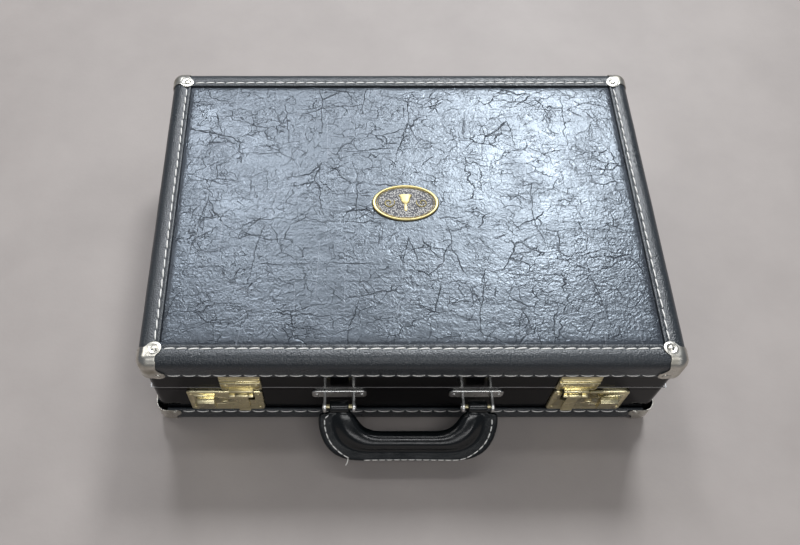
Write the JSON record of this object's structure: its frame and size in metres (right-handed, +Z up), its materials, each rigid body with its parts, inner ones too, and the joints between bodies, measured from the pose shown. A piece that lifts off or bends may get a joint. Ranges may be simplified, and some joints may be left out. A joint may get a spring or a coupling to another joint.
{
  "type": "handbell carrying case",
  "caption": "Hard attache-style carrying case for handbells: hinged lid, slide latches, drop handle, metal corners and a fitted tray inside.",
  "frame": {"origin": "on the floor under the middle of the closed case with its handle, on the plane it rests on", "axes": "+X to the right along the long side as seen from the handle, +Y towards the hinges, +Z up through the lid"},
  "size_m": [0.45, 0.37, 0.125],
  "materials": {
    "leathercloth": "gloss",
    "binding": "satin",
    "vinyl": "gloss",
    "hide": "satin",
    "nickel": "satin",
    "steel": "satin",
    "gilt": "satin",
    "flock": "matte",
    "satin": "satin",
    "alloy": "satin"
  },
  "bodies": {
    "base": {"base_panel": "leathercloth", "base_front_wall": "leathercloth", "base_back_wall": "leathercloth", "base_left_wall": "leathercloth", "base_right_wall": "leathercloth", "base_binding_front": "binding", "base_binding_back": "binding", "base_binding_left": "binding", "base_binding_right": "binding", "base_corner_front_left": "nickel", "base_corner_front_right": "nickel", "base_corner_back_left": "nickel", "base_corner_back_right": "nickel", "base_tongue_frame": "alloy", "bell_tray": "flock", "left_hinge_base_leaf": "nickel", "left_hinge_pin": "steel", "left_lock_body": "gilt", "left_slider_spring": "steel", "left_handle_bracket": "steel", "left_handle_pin": "gilt", "right_hinge_base_leaf": "nickel", "right_hinge_pin": "steel", "right_lock_body": "gilt", "right_slider_spring": "steel", "right_handle_bracket": "steel", "right_handle_pin": "gilt"},
    "lid": {"lid_panel": "leathercloth", "lid_cover": "vinyl", "lid_front_wall": "leathercloth", "lid_back_wall": "leathercloth", "lid_left_wall": "leathercloth", "lid_right_wall": "leathercloth", "lid_binding_front": "binding", "lid_binding_back": "binding", "lid_binding_left": "binding", "lid_binding_right": "binding", "lid_corner_front_left": "nickel", "lid_corner_front_right": "nickel", "lid_corner_back_left": "nickel", "lid_corner_back_right": "nickel", "lid_lining": "satin", "badge": "gilt", "left_hinge_lid_leaf": "nickel", "left_latch_leaf": "gilt", "left_hasp_pin": "steel", "right_hinge_lid_leaf": "nickel", "right_latch_leaf": "gilt", "right_hasp_pin": "steel"},
    "handle": {"handle_grip": "hide"},
    "left_hasp": {"left_hasp": "gilt"},
    "left_slider": {"left_slider": "gilt"},
    "left_lock_barrel": {"left_lock_barrel": "gilt"},
    "left_stay_link": {"left_stay_link": "steel"},
    "left_stay_arm": {"left_stay_arm": "steel"},
    "right_hasp": {"right_hasp": "gilt"},
    "right_slider": {"right_slider": "gilt"},
    "right_lock_barrel": {"right_lock_barrel": "gilt"},
    "right_stay_link": {"right_stay_link": "steel"},
    "right_stay_arm": {"right_stay_arm": "steel"}
  },
  "joints": [
    {"name": "lid_hinge", "type": "hinge", "parent": "base", "child": "lid", "pos_m": [0, 0.18245, 0.0665], "axis": [-1, 0, 0], "range_deg": [0, 100]},
    {"name": "handle_hinge", "type": "hinge", "parent": "base", "child": "handle", "pos_m": [0, -0.14625, 0.0595], "axis": [1, 0, 0], "range_deg": [-132, 48]},
    {"name": "left_hasp_hinge", "type": "hinge", "parent": "lid", "child": "left_hasp", "pos_m": [-0.14365, -0.13795, 0.0635], "axis": [-1, 0, 0], "range_deg": [0, 100]},
    {"name": "left_slider_slide", "type": "slide", "parent": "base", "child": "left_slider", "axis": [-1, 0, 0], "range_m": [0, 0.006], "stiffness_N_per_m": 200, "springref_m": -0.004, "deforming": ["left_slider_spring"]},
    {"name": "left_lock_turn", "type": "hinge", "parent": "base", "child": "left_lock_barrel", "pos_m": [-0.16, -0.13425, 0.045], "axis": [0, -1, 0], "range_deg": [0, 90]},
    {"name": "left_stay_link_pivot", "type": "hinge", "parent": "base", "child": "left_stay_link", "pos_m": [-0.2115, 0.03245, 0.0515], "axis": [-1, 0, 0], "range_deg": [0, 100]},
    {"name": "left_stay_arm_pivot", "type": "hinge", "parent": "lid", "child": "left_stay_arm", "pos_m": [-0.21, 0.13895, 0.0781], "axis": [-1, 0, 0], "range_deg": [-100, 0]},
    {"name": "right_hasp_hinge", "type": "hinge", "parent": "lid", "child": "right_hasp", "pos_m": [0.14365, -0.13795, 0.0635], "axis": [-1, 0, 0], "range_deg": [0, 100]},
    {"name": "right_slider_slide", "type": "slide", "parent": "base", "child": "right_slider", "axis": [1, 0, 0], "range_m": [0, 0.006], "stiffness_N_per_m": 200, "springref_m": -0.004, "deforming": ["right_slider_spring"]},
    {"name": "right_lock_turn", "type": "hinge", "parent": "base", "child": "right_lock_barrel", "pos_m": [0.16, -0.13425, 0.045], "axis": [0, 1, 0], "range_deg": [0, 90]},
    {"name": "right_stay_link_pivot", "type": "hinge", "parent": "base", "child": "right_stay_link", "pos_m": [0.2115, 0.03245, 0.0515], "axis": [-1, 0, 0], "range_deg": [0, 100]},
    {"name": "right_stay_arm_pivot", "type": "hinge", "parent": "lid", "child": "right_stay_arm", "pos_m": [0.21, 0.13895, 0.0781], "axis": [-1, 0, 0], "range_deg": [-100, 0]}
  ],
  "couplings": [
    {"joint": "left_stay_link_pivot", "follows": "lid_hinge", "ratio": 1},
    {"joint": "left_stay_arm_pivot", "follows": "lid_hinge", "ratio": -1},
    {"joint": "right_stay_link_pivot", "follows": "lid_hinge", "ratio": 1},
    {"joint": "right_stay_arm_pivot", "follows": "lid_hinge", "ratio": -1}
  ]
}
